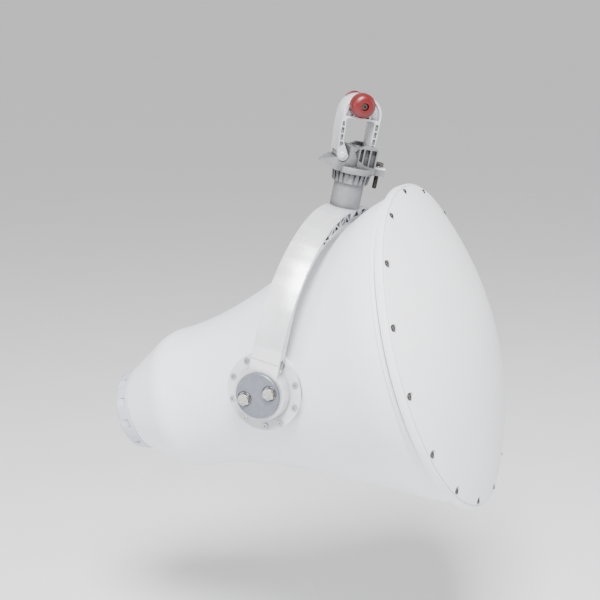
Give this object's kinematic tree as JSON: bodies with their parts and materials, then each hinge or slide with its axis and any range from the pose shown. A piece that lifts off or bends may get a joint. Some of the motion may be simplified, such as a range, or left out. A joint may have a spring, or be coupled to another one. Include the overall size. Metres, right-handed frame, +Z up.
{
  "type": "conical horn antenna with domed cover",
  "caption": "Conical horn antenna with a domed radome cover, tilting in a C-shaped yoke that swivels on a mast clamp with a hinged strap.",
  "frame": {"origin": "centre of the mast in the clamp, halfway along the clamp", "axes": "+Z up, with the horn looking along -Y and rising 16.8 degrees, and the pivots' axis along X"},
  "size_m": [0.4, 0.5135, 0.4961],
  "materials": {
    "white_enamel": "satin powder coat",
    "cover_plastic": "satin weatherproof moulding",
    "grey_enamel": "satin powder coat",
    "slate_enamel": "satin",
    "silver_enamel": "fine-textured silver powder coat",
    "raw_casting": "as-cast, bead blasted",
    "bare_aluminium": "machined",
    "ring_plastic": "satin moulding",
    "bearing_plastic": "slippery bearing plastic",
    "red_plastic": "semi-gloss moulding",
    "dark_rubber": "matt",
    "stainless": "turned",
    "dark_steel": "blackened"
  },
  "bodies": {
    "horn": {"horn_shell": "white_enamel", "rim_ring": "white_enamel", "cover_gasket": "dark_rubber", "radome_cover": "cover_plastic", "cover_screws": "dark_steel", "rim_screws": "stainless", "throat_cone": "bare_aluminium", "port_socket": "bare_aluminium", "socket_screws": "stainless", "port_seal": "dark_rubber", "ring_retainer": "stainless", "pivot_plate_left": "grey_enamel", "pivot_plate_right": "grey_enamel", "plate_screws": "stainless", "pivot_cap_left": "slate_enamel", "pivot_cap_right": "slate_enamel", "pivot_washers": "stainless", "pivot_bolts": "stainless"},
    "twist_ring": {"port_ring": "ring_plastic"},
    "yoke": {"yoke_arm": "silver_enamel", "friction_washers": "bearing_plastic", "spigot": "raw_casting", "spigot_screws": "stainless", "retaining_washer": "stainless", "retaining_bolt": "stainless"},
    "mast_clamp": {"clamp_base": "raw_casting", "hinge_pin": "stainless"},
    "strap": {"strap": "silver_enamel", "crown_knob": "red_plastic", "crown_backing": "red_plastic", "knob_screw": "dark_steel"},
    "clamp_bolt": {"clamp_bolt": "dark_steel", "bolt_washer": "stainless"}
  },
  "joints": [
    {"name": "swivel", "type": "hinge", "parent": "mast_clamp", "child": "yoke", "pos_m": [0.004, 0.00569, -0.04974], "axis": [0, -0.2147, 0.9767], "continuous": true},
    {"name": "tilt", "type": "hinge", "parent": "yoke", "child": "horn", "pos_m": [0.004, 0.05937, -0.29391], "axis": [1, 0, 0], "range_deg": [0, 70]},
    {"name": "port_twist", "type": "hinge", "parent": "horn", "child": "twist_ring", "pos_m": [0.004, 0.30193, -0.3804], "axis": [0, -0.9573, 0.289], "range_deg": [-30, 0]},
    {"name": "strap_hinge", "type": "hinge", "parent": "mast_clamp", "child": "strap", "pos_m": [-0.00862, 0.01685, -0.02527], "axis": [-0.788, -0.6013, -0.1322], "range_deg": [0, 20]},
    {"name": "bolt_travel", "type": "slide", "parent": "mast_clamp", "child": "clamp_bolt", "axis": [0, -0.2147, 0.9767], "range_m": [0, 0.023]}
  ],
  "couplings": [
    {"joint": "bolt_travel", "follows": "strap_hinge", "m_per_rad": 0.0625}
  ]
}
